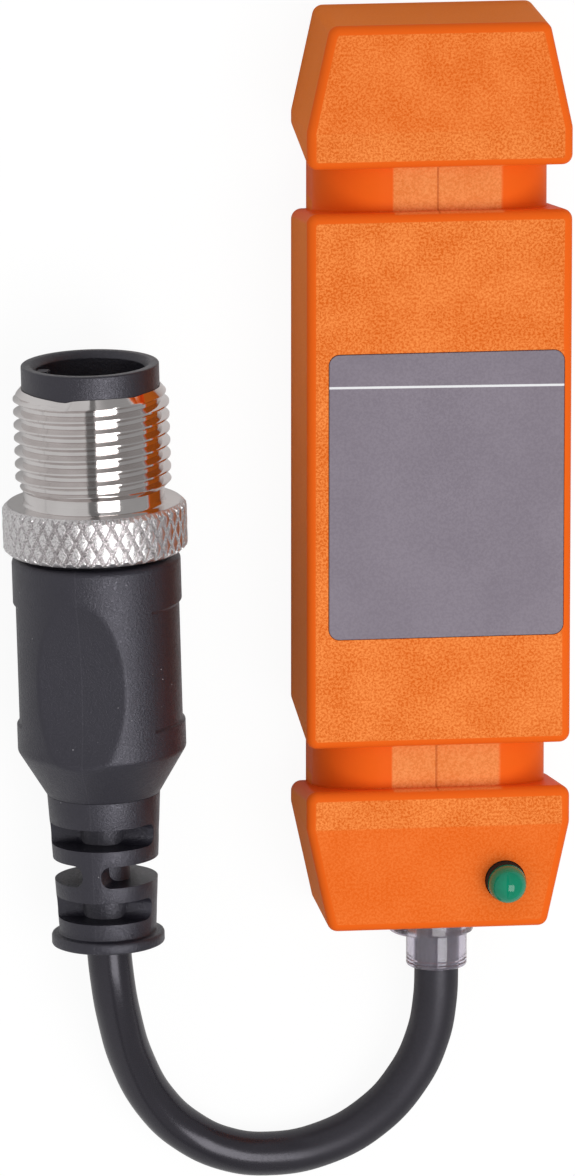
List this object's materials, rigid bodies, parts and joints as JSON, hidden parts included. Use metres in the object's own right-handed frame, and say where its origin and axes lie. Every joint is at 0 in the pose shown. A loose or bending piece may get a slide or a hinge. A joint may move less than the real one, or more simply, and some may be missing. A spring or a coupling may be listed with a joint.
{
  "type": "inductive proximity sensor",
  "caption": "Flat inductive proximity sensor with an orange moulded body, two tie grooves, a status lamp and a short black cable that ends in a threaded plug.",
  "frame": {"origin": "middle of the housing's back face, on the surface that the sensor lies on", "axes": "+Z out of the front face, +Y toward the cap end away from the cable, +X to the right when the front is seen with the cap end up"},
  "size_m": [0.043, 0.0912, 0.014],
  "materials": {
    "housing": "fine spark-eroded grain on the faces, smooth on the sides and edges",
    "back_cover": "fine spark-eroded grain",
    "label": "satin printed foil",
    "lamp": "tinted clear resin",
    "clear_bush": "clear soft plastic",
    "resin": "cast resin",
    "board": "solder mask",
    "chip": "moulded package",
    "ceramic": "fired ceramic",
    "ferrite": "sintered",
    "white_plastic": "moulded",
    "copper": "enamelled wire",
    "tinned_wire": "tinned",
    "brown_core": "extruded",
    "blue_core": "extruded",
    "black_core": "extruded",
    "cable_jacket": "satin extruded jacket",
    "plug_grip": "satin moulding",
    "carrier": "satin moulding",
    "contact_gold": "gold plated",
    "nickel": "turned and nickel plated"
  },
  "bodies": {
    "sensor": {"housing": "housing", "back_cover": "back_cover", "name_label": "label", "status_led": "lamp", "cable_bush": "clear_bush", "potting": "resin", "circuit_board": "board", "sensor_chip": "chip", "output_transistor": "chip", "protection_diode": "chip", "capacitors": "ceramic", "resistors": "chip", "ferrite_core": "ferrite", "coil_bobbin": "white_plastic", "coil_winding": "copper", "coil_leads": "copper", "led_leads": "tinned_wire", "cable_clamp": "tinned_wire", "core_brown": "brown_core", "core_blue": "blue_core", "core_black": "black_core", "cable": "cable_jacket", "plug_grip": "plug_grip", "plug_premould": "white_plastic", "contact_carrier": "carrier", "contact_pin_1": "contact_gold", "contact_pin_2": "contact_gold", "contact_pin_3": "contact_gold", "contact_pin_4": "contact_gold", "plug_core_brown": "brown_core", "plug_core_blue": "blue_core", "plug_core_black": "black_core"},
    "coupling_ring": {"coupling_ring": "nickel"}
  },
  "joints": [
    {"name": "coupling_ring_spin", "type": "hinge", "parent": "sensor", "child": "coupling_ring", "pos_m": [-0.025, -0.0358, 0.00705], "axis": [-0.0283, 0.9996, 0], "continuous": true}
  ]
}
